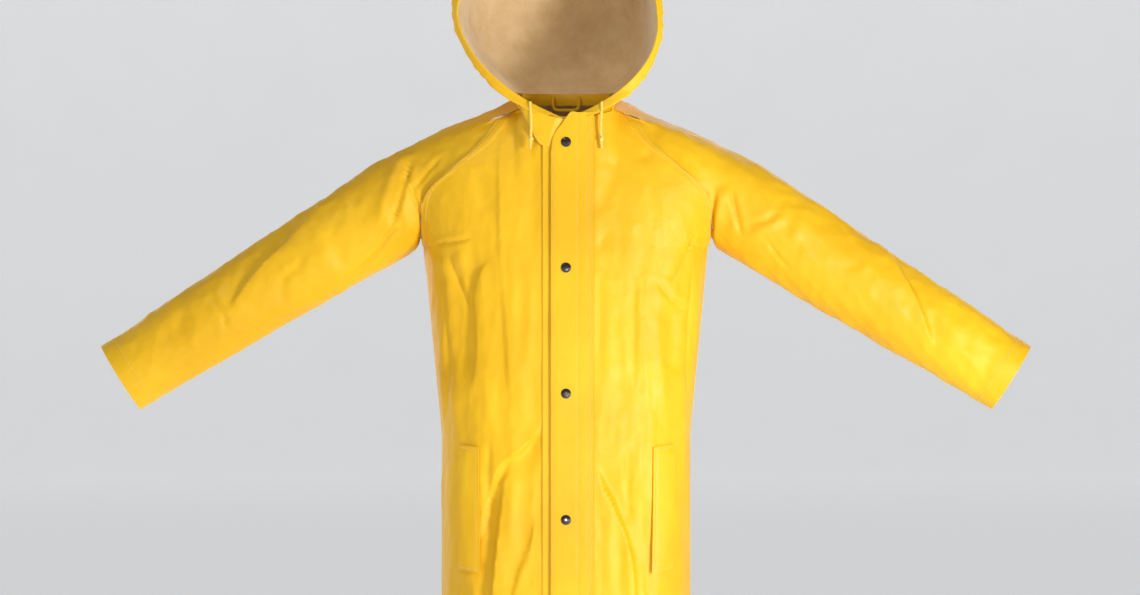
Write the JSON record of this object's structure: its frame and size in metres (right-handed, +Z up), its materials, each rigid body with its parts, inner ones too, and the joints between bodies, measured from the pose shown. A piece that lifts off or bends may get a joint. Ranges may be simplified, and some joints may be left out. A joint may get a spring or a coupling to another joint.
{
  "type": "foul weather jacket",
  "caption": "Hooded waterproof raincoat with raglan sleeves, a snap-fastened storm flap, welt pockets and a drawcord hood, in its worn shape.",
  "frame": {"origin": "centre of the neck opening, level with the collar seam", "axes": "+Z up as worn, the front faces -Y, +X towards the wearer's left"},
  "size_m": [1.5016, 0.2967, 1.2059],
  "materials": {
    "yellow_pvc": "satin-gloss coated fabric",
    "backing_cloth": "matt woven backing",
    "drawcord": "twisted cord",
    "snap_enamel": "gloss enamel",
    "snap_brass": "satin"
  },
  "bodies": {
    "root": {"back_panel": "yellow_pvc", "left_front_panel": "yellow_pvc", "right_front_panel": "yellow_pvc", "left_shoulder_panel": "yellow_pvc", "right_shoulder_panel": "yellow_pvc", "bottom_hem": "backing_cloth", "left_side_seam_tape": "backing_cloth", "right_side_seam_tape": "backing_cloth", "neck_binding": "backing_cloth", "hanger_loop": "yellow_pvc", "hood_left_neck": "yellow_pvc", "hood_right_neck": "yellow_pvc", "left_casing_neck": "yellow_pvc", "right_casing_neck": "yellow_pvc", "left_cord_neck": "drawcord", "right_cord_neck": "drawcord", "left_drawcord_end": "drawcord", "right_drawcord_end": "drawcord", "left_cord_knot": "drawcord", "right_cord_knot": "drawcord", "right_placket": "yellow_pvc", "snap_studs": "snap_brass", "snap_backs": "snap_brass", "left_pocket_welt": "yellow_pvc", "right_pocket_welt": "yellow_pvc", "left_pocket_bag": "backing_cloth", "right_pocket_bag": "backing_cloth"},
    "flap": {"storm_flap": "yellow_pvc", "snap_caps": "snap_enamel", "snap_sockets": "snap_brass"},
    "left_arm": {"left_upper_sleeve": "yellow_pvc"},
    "right_arm": {"right_upper_sleeve": "yellow_pvc"},
    "left_forearm": {"left_lower_sleeve": "yellow_pvc", "left_cuff_hem": "backing_cloth"},
    "right_forearm": {"right_lower_sleeve": "yellow_pvc", "right_cuff_hem": "backing_cloth"},
    "hood": {"hood_left_crown": "yellow_pvc", "hood_right_crown": "yellow_pvc", "hood_seam_tape": "backing_cloth", "crown_casing": "yellow_pvc", "crown_cord": "drawcord"}
  },
  "joints": [
    {"name": "flap_open", "type": "hinge", "parent": "root", "child": "flap", "pos_m": [0.038, -0.10699, -0.01956], "axis": [0, 0.0624, 0.9981], "range_deg": [0, 150]},
    {"name": "left_shoulder", "type": "hinge", "parent": "root", "child": "left_arm", "pos_m": [0.34425, 0.008, -0.19689], "axis": [0, 1, 0], "range_deg": [-60, 50]},
    {"name": "right_shoulder", "type": "hinge", "parent": "root", "child": "right_arm", "pos_m": [-0.34425, 0.008, -0.19689], "axis": [0, -1, 0], "range_deg": [-60, 50]},
    {"name": "left_elbow", "type": "hinge", "parent": "left_arm", "child": "left_forearm", "pos_m": [0.49689, 0.008, -0.29228], "axis": [-0.5299, 0, -0.848], "range_deg": [0, 90]},
    {"name": "right_elbow", "type": "hinge", "parent": "right_arm", "child": "right_forearm", "pos_m": [-0.49689, 0.008, -0.29228], "axis": [-0.5299, 0, 0.848], "range_deg": [0, 90]},
    {"name": "hood_tip", "type": "hinge", "parent": "root", "child": "hood", "pos_m": [0, 0.014, 0.172], "axis": [-1, 0, 0], "range_deg": [0, 40]}
  ]
}
